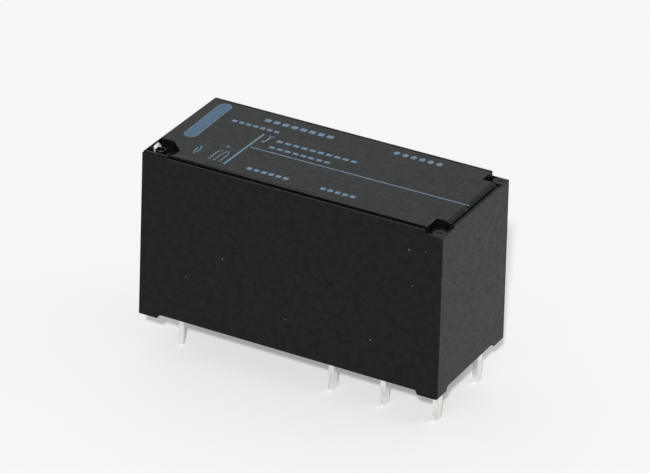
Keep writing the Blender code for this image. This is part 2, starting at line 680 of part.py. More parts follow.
def make_winding(materials):
    """Coil of enamelled wire on the barrel."""
    inner = BARREL_RADIUS + SEAT_GAP
    outer = WINDING_RADIUS
    edge = 2 * SEAT_GAP
    profile = [(WINDING_LEFT_X, inner), (WINDING_LEFT_X, outer - edge),
               (WINDING_LEFT_X + edge, outer), (WINDING_RIGHT_X - edge, outer),
               (WINDING_RIGHT_X, outer - edge), (WINDING_RIGHT_X, inner)]
    return turned("coil_winding", profile, Vector((0, 0, COIL_Z)), "X", TURN_STEPS,
                  materials["enamelled_copper"], ring=True)


def make_core(materials):
    """Iron core with a pole shoe at the armature and a staked tail in the yoke."""
    shoe_end = POLE_X + POLE_SHOE_THICKNESS
    shank_end = YOKE_LEG_X - SEAT_GAP
    head_start = YOKE_OUTER_X + SEAT_GAP
    head_end = head_start + CORE_HEAD_THICKNESS
    profile = [(POLE_X, 0.0), (POLE_X, POLE_SHOE_RADIUS), (shoe_end, POLE_SHOE_RADIUS),
               (shoe_end, CORE_RADIUS), (shank_end, CORE_RADIUS), (shank_end, CORE_TAIL_RADIUS),
               (head_start, CORE_TAIL_RADIUS), (head_start, CORE_HEAD_RADIUS),
               (head_end, CORE_TAIL_RADIUS), (head_end, 0.0)]
    return turned("core", profile, Vector((0, 0, COIL_Z)), "X", TURN_STEPS,
                  materials["soft_iron"])


def make_yoke(materials):
    """L-shaped iron yoke that runs under the coil and up behind it."""
    middle_z = YOKE_Z + YOKE_THICKNESS / 2
    middle_x = YOKE_LEG_X + YOKE_THICKNESS / 2
    path = [(POLE_X, middle_z), (middle_x, middle_z), (middle_x, YOKE_TOP_Z)]
    outline = bent_strip(path, YOKE_THICKNESS, YOKE_BEND_RADIUS)
    half = YOKE_WIDTH / 2
    yoke = prism("yoke", outline, "Y", -half, half, materials["soft_iron"])
    neck_end = FLANGE_LEFT_X + FLANGE_THICKNESS + SEAT_GAP
    for side in (-1, 1):
        y0 = min(side * YOKE_END_WIDTH / 2, side * (half + OVERSHOOT))
        y1 = max(side * YOKE_END_WIDTH / 2, side * (half + OVERSHOOT))
        cut(yoke, block("neck", POLE_X - OVERSHOOT, neck_end, y0, y1, FLOOR_Z, BOBBIN_Z))
    cut(yoke, rod("hole", CORE_TAIL_RADIUS + SEAT_GAP, Vector((0, 0, COIL_Z)), "X",
                  YOKE_LEG_X - SEAT_GAP, YOKE_OUTER_X + SEAT_GAP, TURN_STEPS))
    return yoke


def make_armature(materials):
    """Flat iron armature, hinged on the yoke's lower edge and open at rest."""
    foot = ARMATURE_FOOT_WIDTH / 2
    half = ARMATURE_WIDTH / 2
    tab = ARMATURE_TAB_WIDTH / 2
    step_z = COIL_PIN_TOP_Z + ARMATURE_PIN_GAP - HINGE_Z
    shoulder_z = CARD_Z - 2 * SLIDE_GAP - HINGE_Z
    tab_z = CARD_Z + CARD_THICKNESS + SEAT_GAP - HINGE_Z
    right_side = [(foot, 0.0), (foot, step_z), (half, step_z + half - foot),
                  (half, shoulder_z), (tab, shoulder_z), (tab, tab_z)]
    outline = right_side + [(-y, z) for y, z in reversed(right_side)]
    armature = prism("armature", outline, "X", -ARMATURE_THICKNESS, 0.0, materials["soft_iron"])
    armature.location = (HINGE_X, 0.0, HINGE_Z)
    armature.rotation_euler = (0.0, -ARMATURE_OPENING, 0.0)
    return armature


def make_armature_spring(materials):
    """Leaf gripped under the yoke, holding the armature's foot against it."""
    middle_z = SEAT_Z + LEAF_THICKNESS / 2
    bend_x = HINGE_X - ARMATURE_THICKNESS - LEAF_CLEARANCE - LEAF_THICKNESS / 2
    top_x = bend_x - LEAF_HEIGHT * math.tan(ARMATURE_OPENING)
    grip_x = POLE_X + LEAF_GRIP_LENGTH
    path = [(grip_x, middle_z), (bend_x, middle_z), (top_x, middle_z + LEAF_HEIGHT)]
    outline = bent_strip(path, LEAF_THICKNESS, LEAF_BEND_RADIUS)
    half = LEAF_WIDTH / 2
    return prism("armature_spring", outline, "Y", -half, half, materials["spring_steel"])


def make_card(materials):
    """Plastic slide that carries the armature's movement over to the moving spring."""
    half = CARD_WIDTH / 2
    nose = CARD_NOSE_WIDTH / 2
    slot = ARMATURE_TAB_WIDTH / 2 + SLIDE_GAP
    prong_x = CARD_LEFT_X - CARD_PRONG_LENGTH
    neck_x = CARD_RIGHT_X - CARD_NOSE_LENGTH
    back = [(prong_x, half), (prong_x, slot), (CARD_LEFT_X, slot)]
    outline = [(neck_x - half + nose, half)] + back + [(x, -y) for x, y in reversed(back)]
    outline += [(neck_x - half + nose, -half), (neck_x, -nose), (CARD_RIGHT_X, -nose),
                (CARD_RIGHT_X, nose), (neck_x, nose)]
    card = prism("card", outline, "Z", CARD_Z, CARD_Z + CARD_THICKNESS, materials["card_plastic"])
    middle = (WINDING_LEFT_X + WINDING_RIGHT_X) / 2
    window = rounded_rectangle(middle - CARD_WINDOW_LENGTH / 2, middle + CARD_WINDOW_LENGTH / 2,
                               -CARD_WINDOW_WIDTH / 2, CARD_WINDOW_WIDTH / 2, FLANGE_RADIUS)
    cut(card, prism("window", window, "Z", CARD_Z - OVERSHOOT, CARD_Z + CARD_THICKNESS + OVERSHOOT))
    for low, high in ((CARD_Z, CARD_Z - OVERSHOOT),
                      (CARD_Z + CARD_THICKNESS, CARD_Z + CARD_THICKNESS + OVERSHOOT)):
        inward = CARD_NOSE_CHAMFER if high > low else -CARD_NOSE_CHAMFER
        wedge = [(CARD_RIGHT_X - CARD_NOSE_CHAMFER, low), (CARD_RIGHT_X + OVERSHOOT, high),
                 (CARD_RIGHT_X + OVERSHOOT, low - inward), (CARD_RIGHT_X, low - inward)]
        cut(card, prism("chamfer", wedge, "Y", -half, half))
    return card


def make_coil_pin(name, side, materials):
    """Round tinned pin, pressed into the bobbin's boss."""
    radius = COIL_PIN_RADIUS
    profile = [(0.0, 0.0), (0.0, radius * PIN_TIP_SCALE),
               (PIN_TIP_LENGTH / 3, radius * (1 + PIN_TIP_SCALE) / 2),
               (PIN_TIP_LENGTH, radius), (COIL_PIN_TOP_Z - SEAT_GAP, radius),
               (COIL_PIN_TOP_Z, radius - SEAT_GAP), (COIL_PIN_TOP_Z, 0.0)]
    return turned(name, profile, Vector((COIL_PIN_X, side * PIN_Y, 0)), "Z", SMALL_TURN_STEPS,
                  materials["tinned_copper"])


def terminal_pin(x, side):
    """Flat pin with a tapered tip, up to the terminal's shoulder."""
    half_x = TERMINAL_THICKNESS / 2
    half_y = TERMINAL_PIN_WIDTH / 2
    sections = []
    middle_scale = (1 + PIN_TIP_SCALE) / 2
    for z, scale in ((0.0, PIN_TIP_SCALE), (PIN_TIP_LENGTH / 3, middle_scale), (PIN_TIP_LENGTH, 1.0),
                     (SEAT_Z + SEAT_GAP, 1.0)):
        dx = half_x * scale
        dy = half_y - half_x * (1 - scale)
        y = side * PIN_Y
        sections.append((z, [(x - dx, y - dy), (x + dx, y - dy), (x + dx, y + dy), (x - dx, y + dy)]))
    return loft("pin", sections)


def make_fixed_terminal(name, pin_x, plate_x, materials):
    """Bent terminal with two pins, a strap along the base and an upright contact plate."""
    strap_z = SEAT_Z + STRAP_HEIGHT
    path = [(pin_x, SEAT_Z), (pin_x, strap_z), (plate_x, strap_z), (plate_x, UPRIGHT_TOP_Z)]
    outline = bent_strip(path, TERMINAL_THICKNESS, STRAP_BEND_RADIUS)
    half = PIN_Y + TERMINAL_PIN_WIDTH / 2
    terminal = prism(name, outline, "Y", -half, half, materials["tinned_copper"])
    upright = UPRIGHT_WIDTH / 2
    low = strap_z + TERMINAL_THICKNESS / 2 + STRAP_BEND_RADIUS
    for side in (-1, 1):
        y0 = min(side * upright, side * (half + OVERSHOOT))
        y1 = max(side * upright, side * (half + OVERSHOOT))
        cut(terminal, block("trim", plate_x - TERMINAL_THICKNESS, plate_x + TERMINAL_THICKNESS,
                            y0, y1, low, TOP_Z))
        join(terminal, terminal_pin(pin_x, side))
    origin = Vector((plate_x, 0, CONTACT_Z))
    cut(terminal, rod("hole", CONTACT_SHANK_RADIUS + SEAT_GAP, origin, "X",
                      -TERMINAL_THICKNESS, TERMINAL_THICKNESS))
    return terminal


def make_com_terminal(materials):
    """Flat terminal with two pins and the plate that clamps the moving spring."""
    outer = PIN_Y + TERMINAL_PIN_WIDTH / 2
    plate = COM_PLATE_WIDTH / 2
    shoulder_z = SEAT_Z + COM_SHOULDER_HEIGHT
    right_side = [(outer, SEAT_Z), (outer, shoulder_z), (plate, shoulder_z + outer - plate),
                  (plate, COM_TOP_Z)]
    outline = right_side + [(-y, z) for y, z in reversed(right_side)]
    x0 = COM_PIN_X - TERMINAL_THICKNESS / 2
    x1 = COM_PIN_X + TERMINAL_THICKNESS / 2
    terminal = prism("com_terminal", outline, "X", x0, x1, materials["tinned_copper"])
    for side in (-1, 1):
        join(terminal, terminal_pin(COM_PIN_X, side))
        origin = Vector((COM_PIN_X, side * RIVET_SPACING / 2, COM_TOP_Z - RIVET_DEPTH))
        cut(terminal, rod("hole", RIVET_RADIUS + SEAT_GAP, origin, "X",
                          -TERMINAL_THICKNESS, TERMINAL_THICKNESS))
    return terminal


def make_moving_spring(materials):
    """Copper alloy leaf that carries the moving contact; its origin is its bending line."""
    foot = SPRING_FOOT_WIDTH / 2
    tip = SPRING_TIP_WIDTH / 2
    tip_z = ROOF_Z - SPRING_ROOF_GAP - COM_TOP_Z
    taper_z = CONTACT_Z - MOVING_CONTACT_RADIUS - COM_TOP_Z
    right_side = [(foot, -SPRING_FOOT_DROP), (foot, 0.0), (tip, taper_z), (tip, tip_z - tip / 4),
                  (tip - tip / 4, tip_z)]
    outline = right_side + [(-y, z) for y, z in reversed(right_side)]
    spring = prism("moving_spring", outline, "X", SPRING_LEFT_X - SPRING_RIGHT_X, 0.0,
                   materials["copper_alloy"])
    reach = 2 * SPRING_THICKNESS
    for side in (-1, 1):
        origin = Vector((0, side * RIVET_SPACING / 2, -RIVET_DEPTH))
        cut(spring, rod("hole", RIVET_RADIUS + FLEX_FIT, origin, "X", -reach, reach))
    origin = Vector((0, 0, CONTACT_Z - COM_TOP_Z))
    cut(spring, rod("hole", CONTACT_SHANK_RADIUS + PIN_FIT, origin, "X", -reach, reach))
    spring.location = (SPRING_RIGHT_X, 0.0, COM_TOP_Z)
    return spring


def make_spring_rivet(name, side, materials):
    """Rivet that clamps the moving spring's foot to the common terminal."""
    left = SPRING_LEFT_X - FLEX_GAP
    right = COM_PIN_X + TERMINAL_THICKNESS / 2 + SEAT_GAP
    small = RIVET_HEAD_RADIUS - RIVET_HEAD_THICKNESS / 2
    profile = [(left - RIVET_HEAD_THICKNESS, 0.0), (left - RIVET_HEAD_THICKNESS, small),
               (left - RIVET_HEAD_THICKNESS / 2, RIVET_HEAD_RADIUS), (left, RIVET_HEAD_RADIUS),
               (left, RIVET_RADIUS), (right, RIVET_RADIUS), (right, RIVET_HEAD_RADIUS),
               (right + RIVET_HEAD_THICKNESS / 2, RIVET_HEAD_RADIUS),
               (right + RIVET_HEAD_THICKNESS, small), (right + RIVET_HEAD_THICKNESS, 0.0)]
    origin = Vector((0, side * RIVET_SPACING / 2, COM_TOP_Z - RIVET_DEPTH))
    return turned(name, profile, origin, "X", SMALL_TURN_STEPS, materials["copper_alloy"])


def dome(face, direction, radius, thickness, rise):
    """Profile points of a contact head, from its crown back to its flat side."""
    return [(face, 0.0), (face - direction * rise / 4, radius / 2),
            (face - direction * rise, radius), (face - direction * thickness, radius)]


def make_fixed_contact(name, face_x, plate_x, direction, materials):
    """Domed contact rivet in a fixed terminal; direction is the way it faces along X."""
    back = plate_x - direction * (TERMINAL_THICKNESS / 2 + SEAT_GAP)
    end = back - direction * CONTACT_TAIL_THICKNESS
    profile = dome(face_x, direction, CONTACT_RADIUS, CONTACT_THICKNESS, CONTACT_DOME)
    front = face_x - direction * CONTACT_THICKNESS
    profile += [(front, CONTACT_SHANK_RADIUS), (back, CONTACT_SHANK_RADIUS),
                (back, CONTACT_TAIL_RADIUS), (end, CONTACT_SHANK_RADIUS), (end, 0.0)]
    return turned(name, profile, Vector((0, 0, CONTACT_Z)), "X", TURN_STEPS,
                  materials["silver_alloy"])


def make_moving_contact(materials):
    """Double-headed contact rivet through the moving spring."""
    radius = MOVING_CONTACT_RADIUS
    left = SPRING_LEFT_X - MOVING_CONTACT_THICKNESS
    right = SPRING_RIGHT_X + MOVING_CONTACT_THICKNESS
    head = MOVING_CONTACT_THICKNESS - PIN_FIT
    profile = dome(left, -1, radius, head, CONTACT_DOME)
    profile += [(left + head, CONTACT_SHANK_RADIUS), (right - head, CONTACT_SHANK_RADIUS)]
    profile += reversed(dome(right, 1, radius, head, CONTACT_DOME))
    pivot = Vector((SPRING_RIGHT_X, 0, COM_TOP_Z))
    contact = turned("moving_contact", profile, Vector((0, 0, CONTACT_Z)) - pivot, "X",
                     TURN_STEPS, materials["silver_alloy"])
    contact.location = pivot
    return contact


def build():
    """Make every piece of the relay."""
    clear_scene()
    materials = make_materials()
    make_cover(materials)
    make_base(materials)
    make_resin(materials)
    make_bobbin(materials)
    make_winding(materials)
    make_core(materials)
    make_yoke(materials)
    make_armature(materials)
    make_armature_spring(materials)
    make_card(materials)
    make_coil_pin("coil_pin_front", -1, materials)
    make_coil_pin("coil_pin_back", 1, materials)
    make_fixed_terminal("nc_terminal", NC_PIN_X, NC_PLATE_X, materials)
    make_fixed_contact("nc_contact", NC_FACE_X, NC_PLATE_X, 1, materials)
    make_fixed_terminal("no_terminal", NO_PIN_X, NO_PLATE_X, materials)
    make_fixed_contact("no_contact", NO_FACE_X, NO_PLATE_X, -1, materials)
    make_com_terminal(materials)
    make_moving_spring(materials)
    make_moving_contact(materials)
    make_spring_rivet("spring_rivet_front", -1, materials)
    make_spring_rivet("spring_rivet_back", 1, materials)


build()
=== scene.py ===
import json
import math

import bmesh
import bpy
from mathutils import Matrix, Vector


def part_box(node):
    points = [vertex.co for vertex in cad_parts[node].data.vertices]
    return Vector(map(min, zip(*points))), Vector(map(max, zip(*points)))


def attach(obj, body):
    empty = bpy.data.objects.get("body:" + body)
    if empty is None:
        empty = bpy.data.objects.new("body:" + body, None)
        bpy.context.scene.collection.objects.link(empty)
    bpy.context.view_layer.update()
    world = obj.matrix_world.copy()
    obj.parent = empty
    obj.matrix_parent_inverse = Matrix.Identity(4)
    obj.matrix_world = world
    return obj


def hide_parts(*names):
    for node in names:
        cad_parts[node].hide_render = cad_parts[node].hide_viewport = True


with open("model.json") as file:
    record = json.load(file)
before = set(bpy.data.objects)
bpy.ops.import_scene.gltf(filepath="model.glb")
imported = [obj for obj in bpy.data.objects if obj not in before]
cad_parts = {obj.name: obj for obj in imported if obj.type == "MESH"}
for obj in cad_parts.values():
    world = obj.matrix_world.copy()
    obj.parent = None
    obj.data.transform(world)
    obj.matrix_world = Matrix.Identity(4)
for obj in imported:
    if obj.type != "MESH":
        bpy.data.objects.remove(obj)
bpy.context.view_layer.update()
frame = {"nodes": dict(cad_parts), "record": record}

# Lengths in this file are millimetres; meshes are scaled to metres when they are finished.
MM = 0.001

# Case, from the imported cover's box
COVER_LOW, COVER_HIGH = (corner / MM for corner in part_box("cover"))
FEET_Z = COVER_LOW.z
TOP_Z = COVER_HIGH.z
HALF_LENGTH = COVER_HIGH.x
HALF_WIDTH = COVER_HIGH.y
DRAFT = 0.18
WALL = 0.7
ROOF = 1.0
CAVITY_RADII = (0.05, 0.05, 0.05, 0.05)
CORNER_RADII = (0.13, 0.13, 0.1, 0.26)
EDGE_RADIUS = 0.1
FRONT_EDGE_RADIUS = 0.05
RIGHT_EDGE_RADIUS = 0.12
FOOT_LENGTH = 1.85
FOOT_HEIGHT = 0.38
FOOT_SLANT = 0.2
FOOT_TOOL_REACH = 1.0

# Band round the top of the walls, standing in a little
BAND_INSET = 0.05
BAND_HEIGHT = 0.52
BAND_SLOPE = 0.04

# Marking face with its grooves and the lower rims
FRONT_GROOVE = (0.03, 0.27)
BACK_GROOVE = (0.28, 0.35)
RIGHT_GROOVE = (0.17, 0.66)
RIGHT_ROUNDING = 0.24
RIGHT_SLIT = 0.14
GROOVE_DEPTH = 0.42
RIM_DROP = 0.13
RIGHT_RIM_DROP = 0.26
FRONT_LEAN = 0.23
GROOVE_START = 0.05
RIM_OVERLAP = 0.03

# Vent pocket
POCKET_RIM = 0.2
POCKET_LENGTH = 2.51
POCKET_WIDTH = 2.64
POCKET_CHAMFER = 1.28
POCKET_SMALL_CHAMFER = 0.38
POCKET_DEPTH = 0.8
POCKET_DRAFT = 0.93
POCKET_OVERLAP = 0.004
POCKET_RIM_LIFT = 0.02
VENT_PLACE = (1.02, 1.34)
VENT_RADIUS = 0.47
VENT_BORE = 0.31
VENT_HEIGHT = 0.65
VENT_SINK = 0.05
VENT_FLOOR = 0.02

# Lowered corners with a pit round each post
NOTCH_LENGTH = 1.6
NOTCH_WIDTH = 2.0
NOTCH_DROP = 0.45
PIT_DEPTH = 0.8
PIT_WALL = 0.14
POST_RADIUS = 0.62
DIMPLE_RADIUS = 0.22
DIMPLE_DEPTH = 0.12
DIMPLE_FLOOR = 0.1

EDGE_BEVEL = 0.035
OVERSHOOT = 0.5
LEVEL_MARGIN = 1e-6
MERGE_DISTANCE = 0.0005
CORNER_STEPS = 8
EDGE_STEPS = 7
ROUND_STEPS = 8
DISC_STEPS = 24
TURN_STEPS = 48

# Drop of sealant beside the vent ring
DROP_RADII = (0.25, 0.46, 0.46)
DROP_PLACE = (0.4, 1.82)
DROP_DEPTH = 0.42

# Print on the marking face. A line is x0, y0, x1, y1 and its width.
PRINT_SINK = 0.004
PRINT_THICKNESS = 0.006
BAR_EDGE_THICKNESS = 0.003
BAR_LINE = (-12.58, 4.82, -12.42, -1.27)
BAR_WIDTH = 1.12
BAR_EDGE_WIDTH = 1.26
LONG_LINES = ((-7.07, 1.9, -7.19, -4.7, 0.19), (-6.8, -0.8, 13.9, -0.72, 0.13))
DOT_PLACES = (4.32, 5.14, 5.94, 6.74, 7.54, 8.37)
DOT_ROW = 4.73
DOT_RADII = (0.27, 0.3)
CONTACT_LINES = ((-8.78, -4.44, -8.76, -2.72, 0.11), (-8.76, -2.72, -8.5, -2.66, 0.11),
                 (-8.27, -4.44, -8.27, -3.3, 0.11), (-8.27, -3.3, -8.1, -2.62, 0.11),
                 (-7.76, -4.48, -7.76, -2.9, 0.11), (-7.76, -2.9, -7.95, -2.6, 0.11))
CONTACT_DOT_PLACES = (-8.78, -8.27, -7.76)
CONTACT_DOT_ROW = -4.46
CONTACT_DOT_RADIUS = 0.13
COIL_LINE = (-10.4, -4.3, -10.42, -2.85, 0.13)
COIL_BOX = ((-10.62, -3.95), (-10.2, -3.95), (-10.2, -3.2), (-10.62, -3.2))
HOOK_LINES = ((-6.3, 0.85, -6.28, 1.85, 0.16), (-6.5, 1.88, -6.05, 1.88, 0.14))
HOOK_DOT = (-6.45, 0.68, 0.14, 0.14)
WEDGE = ((-8.62, -1.85), (-8.3, -1.85), (-8.5, -1.5))

# Rows of plain bars: x0, x1, y0, y1 and the number of bars
PRINT_ROWS = ((-8.35, -1.4, 3.8, 5.1, 8), (-10.7, -5.9, 2.4, 3.35, 7), (-5.45, 2.5, 0.9, 1.83, 10),
              (-5.5, 0.6, -0.36, 0.48, 8), (-5.15, -0.95, -4.92, -3.85, 6),
              (1.9, 5.4, -4.93, -3.87, 5))
DASH_FILL = 0.68
DASH_HEIGHT = 0.4

# Finishes
NOISE_MIDDLE = (0.3, 0.7)
GRAIN_DEPTH = 0.02
WIRE_PITCH = 0.48
WIRE_DEPTH = 0.06
WAVES_PER_SCALE = 3.1831
CASE_DARK = (0.0001, 0.0002, 0.0003)
CASE_LIGHT = (0.0004, 0.0006, 0.0007)
CASE_SHEEN = (0.41, 0.59)
CASE_CLOUD = 0.7
DUST_SPACING = 2.0
DUST_EDGE = (0.022, 0.04)
DUST_COLOUR = (0.06, 0.058, 0.055, 1)

# Stage. A lamp is its name, azimuth and elevation in degrees, strength, and spread in degrees.
FLOOR_REACH = 1200
FLOOR_GLOW = 0.32
SURROUND_HEIGHTS = (0.6, 0.85)
SURROUND_LEVELS = (0.45, 1.6)
LAMPS = (("back_left", 208, 30, 0.4, 60), ("right", 118, 16, 1.0, 44),
         ("camera_side", 24, 34, 10.5, 3))

# Camera: angles in degrees, sensor and lens in millimetres
CAMERA_AZIMUTH = 27.746
CAMERA_ELEVATION = 27.728
CAMERA_ROLL = 1.821
CAMERA_TARGET = (-2.66, 5.356, 9.0)
CAMERA_DISTANCE = 344.59
CAMERA_LENS = 219.46
CAMERA_SENSOR = 36.0
CAMERA_NEAR = 0.01


def solid(name, shape):
    """An object from a bmesh, with its faces turned outwards."""
    bmesh.ops.recalc_face_normals(shape, faces=shape.faces)
    mesh = bpy.data.meshes.new(name)
    shape.to_mesh(mesh)
    shape.free()
    item = bpy.data.objects.new(name, mesh)
    bpy.context.scene.collection.objects.link(item)
    return item


def freeze(item):
    """Keep the shape that the object's modifiers give it."""
    shown = item.evaluated_get(bpy.context.evaluated_depsgraph_get())
    shaped = bpy.data.meshes.new_from_object(shown)
    item.modifiers.clear()
    item.data = shaped


def cut_away(target, tool):
    """Cut a tool away from a body, then drop the tool."""
    modifier = target.modifiers.new("cut", "BOOLEAN")
    modifier.operation = "DIFFERENCE"
    modifier.solver = "EXACT"
    modifier.object = tool
    freeze(target)
    bpy.data.objects.remove(tool)


def cut(target, *tools):
    """Cut each tool away from a body."""
    for tool in tools:
        cut_away(target, tool)


def rounded_rectangle(x0, x1, y0, y1, radii):
    """Points round a rectangle; radii go anticlockwise from the back right corner."""
    signs = [(1, 1), (-1, 1), (-1, -1), (1, -1)]
    points = []
    for quarter, ((side_x, side_y), radius) in enumerate(zip(signs, radii)):
        x = (x1 if side_x > 0 else x0) - side_x * radius
        y = (y1 if side_y > 0 else y0) - side_y * radius
        for step in range(CORNER_STEPS + 1):
            angle = 0.5 * math.pi * (quarter + step / CORNER_STEPS)
            points.append((x + radius * math.cos(angle), y + radius * math.sin(angle)))
    return points


def loft(name, sections):
    """A closed body through level outlines."""
    shape = bmesh.new()
    rings = [[shape.verts.new((x, y, z)) for x, y in outline] for z, outline in sections]
    count = len(rings[0])
    for lower, upper in zip(rings, rings[1:]):
        for index in range(count):
            after = (index + 1) % count
            shape.faces.new((lower[index], lower[after], upper[after], upper[index]))
    shape.faces.new(reversed(rings[0]))
    shape.faces.new(rings[-1])
    return solid(name, shape)


def prism(name, outline, z0, z1):
    """An outline raised straight up."""
    return loft(name, [(z0, outline), (z1, outline)])


def side_prism(name, outline, axis, half):
    """An outline of (place, height) points run along X or Y, half its length to each side."""
    shape = bmesh.new()
    ends = []
    for along in (-half, half):
        if axis == "X":
            ends.append([shape.verts.new((along, u, z)) for u, z in outline])
        else:
            ends.append([shape.verts.new((u, along, z)) for u, z in outline])
    count = len(outline)
    for index in range(count):
        after = (index + 1) % count
        shape.faces.new((ends[0][index], ends[0][after], ends[1][after], ends[1][index]))
    shape.faces.new(ends[0])
    shape.faces.new(ends[1])
    return solid(name, shape)


def turned(name, profile, centre):
    """Spin a profile of (height, radius) points round an upright axis."""
    shape = bmesh.new()
    verts = [shape.verts.new((radius, 0.0, z)) for z, radius in profile]
    edges = [shape.edges.new(pair) for pair in zip(verts, verts[1:])]
    bmesh.ops.spin(shape, geom=verts + edges, cent=(0, 0, 0), axis=(0, 0, 1),
                   angle=2 * math.pi, steps=TURN_STEPS, use_merge=True)
    bmesh.ops.remove_doubles(shape, verts=shape.verts, dist=MERGE_DISTANCE)
    shape.transform(Matrix.Translation(centre))
    return solid(name, shape)


def case_half(z, inset=0.0):
    """Half length and half width of the drafted case at a height."""
    draft = DRAFT * (z - FEET_Z) / (TOP_Z - FEET_Z) + inset
    return HALF_LENGTH - draft, HALF_WIDTH - draft


def case_section(z, inset=0.0, radii=CORNER_RADII):
    """Height and outline of the drafted case, or of a space inside it."""
    half_x, half_y = case_half(z, inset)
    return z, rounded_rectangle(-half_x, half_x, -half_y, half_y, radii)


def wall_inset(z, band_height, edge_z, edge_radius):
    """How far a wall stands in at a height: above its band's step and round its upper edge."""
    inset = BAND_INSET if z > TOP_Z - band_height + LEVEL_MARGIN else 0.0
    rise = min(z - edge_z + edge_radius, edge_radius)
    if rise > 0:
        inset += edge_radius - math.sqrt(edge_radius ** 2 - rise ** 2)
    return inset


def banded_section(z):
    """Outline of the upper case at a height, with each wall's own band and edge."""
    half_x, half_y = case_half(z)
    lean = FRONT_LEAN * (z - FEET_Z) / (TOP_Z - FEET_Z)
    front = wall_inset(z, BAND_HEIGHT, TOP_Z - RIM_DROP, FRONT_EDGE_RADIUS) - lean
    back = wall_inset(z, BAND_HEIGHT, TOP_Z, EDGE_RADIUS)
    left = wall_inset(z, BAND_HEIGHT, TOP_Z, EDGE_RADIUS)
    right = wall_inset(z, 0.0, TOP_Z - RIGHT_RIM_DROP, RIGHT_EDGE_RADIUS)
    return z, rounded_rectangle(left - half_x, half_x - right, front - half_y, half_y - back,
                                CORNER_RADII)


def case_shell():
    """Drafted walls with the band round their top and rounded upper edges."""
    levels = {round(TOP_Z - BAND_HEIGHT, 5), round(TOP_Z - BAND_HEIGHT + BAND_SLOPE, 5)}
    rounded = ((TOP_Z, EDGE_RADIUS), (TOP_Z - RIM_DROP, FRONT_EDGE_RADIUS),
               (TOP_Z - RIGHT_RIM_DROP, RIGHT_EDGE_RADIUS))
    for edge_z, radius in rounded:
        for step in range(EDGE_STEPS + 1):
            angle = 0.5 * math.pi * step / EDGE_STEPS
            levels.add(round(edge_z - radius * (1 - math.sin(angle)), 5))
    sections = [case_section(FEET_Z)] + [banded_section(z) for z in sorted(levels)]
    return loft("case_moulding", sections)


def pocket_outline():
    """The vent pocket's six corners at its rim, anticlockwise from the front left one."""
    half_x, _ = case_half(TOP_Z)
    _, groove_y = case_half(TOP_Z, FRONT_GROOVE[1])
    x0 = POCKET_RIM - half_x
    x1 = x0 + POCKET_LENGTH
    y0 = -groove_y - POCKET_OVERLAP
    y1 = y0 + POCKET_WIDTH
    return [(x0, y0), (x1 - POCKET_SMALL_CHAMFER, y0), (x1, y0 + POCKET_SMALL_CHAMFER),
            (x1, y1 - POCKET_CHAMFER), (x1 - POCKET_CHAMFER, y1), (x0, y1)]


def box(x0, x1, y0, y1, z0, z1):
    """A plain block between two places on each axis."""
    return prism("box", [(x0, y0), (x1, y0), (x1, y1), (x0, y1)], z0, z1)


def corner_pit(side):
    """Tool for the pit in a lowered corner, leaving a round-nosed post and thin outer walls."""
    full_x, full_y = case_half(TOP_Z)
    start = math.asin(PIT_WALL / POST_RADIUS - 1)
    sweep = 0.5 * math.pi - 2 * start
    places = [(PIT_WALL, NOTCH_WIDTH), (NOTCH_LENGTH, NOTCH_WIDTH), (NOTCH_LENGTH, PIT_WALL)]
    for step in range(TURN_STEPS // 2 + 1):
        angle = start + sweep * step / (TURN_STEPS // 2)
        places.append((POST_RADIUS * (1 + math.cos(angle)), POST_RADIUS * (1 + math.sin(angle))))
    outline = [(full_x - u, side * (full_y - w)) for u, w in places]
    return prism("pit", outline, TOP_Z - PIT_DEPTH, TOP_Z + OVERSHOOT)


def post_dimple(side):
    """Tool for the dimple in the top of a corner post."""
    full_x, full_y = case_half(TOP_Z)
    centre = Vector((full_x - POST_RADIUS, side * (full_y - POST_RADIUS), TOP_Z - NOTCH_DROP))
    profile = [(-DIMPLE_DEPTH, 0.0), (-DIMPLE_DEPTH, DIMPLE_FLOOR), (0.0, DIMPLE_RADIUS),
               (OVERSHOOT, DIMPLE_RADIUS), (OVERSHOOT, 0.0)]
    return turned("dimple", profile, centre)


def cut_grooves(shell):
    """Straight grooves in front of the marking face and behind it."""
    full_x, full_y = case_half(TOP_Z)
    low = TOP_Z - GROOVE_DEPTH
    high = TOP_Z + OVERSHOOT
    outer_x = full_x - RIGHT_GROOVE[0]
    start_x = pocket_outline()[1][0] + GROOVE_START
    cut(shell,
        box(start_x, outer_x, FRONT_GROOVE[0] - full_y, FRONT_GROOVE[1] - full_y, low, high),
        box(-full_x + BACK_GROOVE[1], outer_x, full_y - BACK_GROOVE[1], full_y - BACK_GROOVE[0],
            low, high))


def cut_right_groove(shell):
    """Groove at the right with a rounded slope down to a narrow slit."""
    full_x, full_y = case_half(TOP_Z)
    low = TOP_Z - GROOVE_DEPTH
    high = TOP_Z + OVERSHOOT
    outer_x = full_x - RIGHT_GROOVE[0]
    inner_x = full_x - RIGHT_GROOVE[1]
    slope = [(outer_x, low), (outer_x, high), (inner_x, high)]
    for step in range(EDGE_STEPS + 1):
        angle = 0.5 * math.pi * step / EDGE_STEPS
        slope.append((inner_x + (outer_x - RIGHT_SLIT - inner_x) * math.sin(angle),
                      TOP_Z - RIGHT_ROUNDING * (1 - math.cos(angle))))
    slope.append((outer_x - RIGHT_SLIT, low))
    cut(shell, side_prism("right_groove", slope, "Y", full_y - BACK_GROOVE[1]))


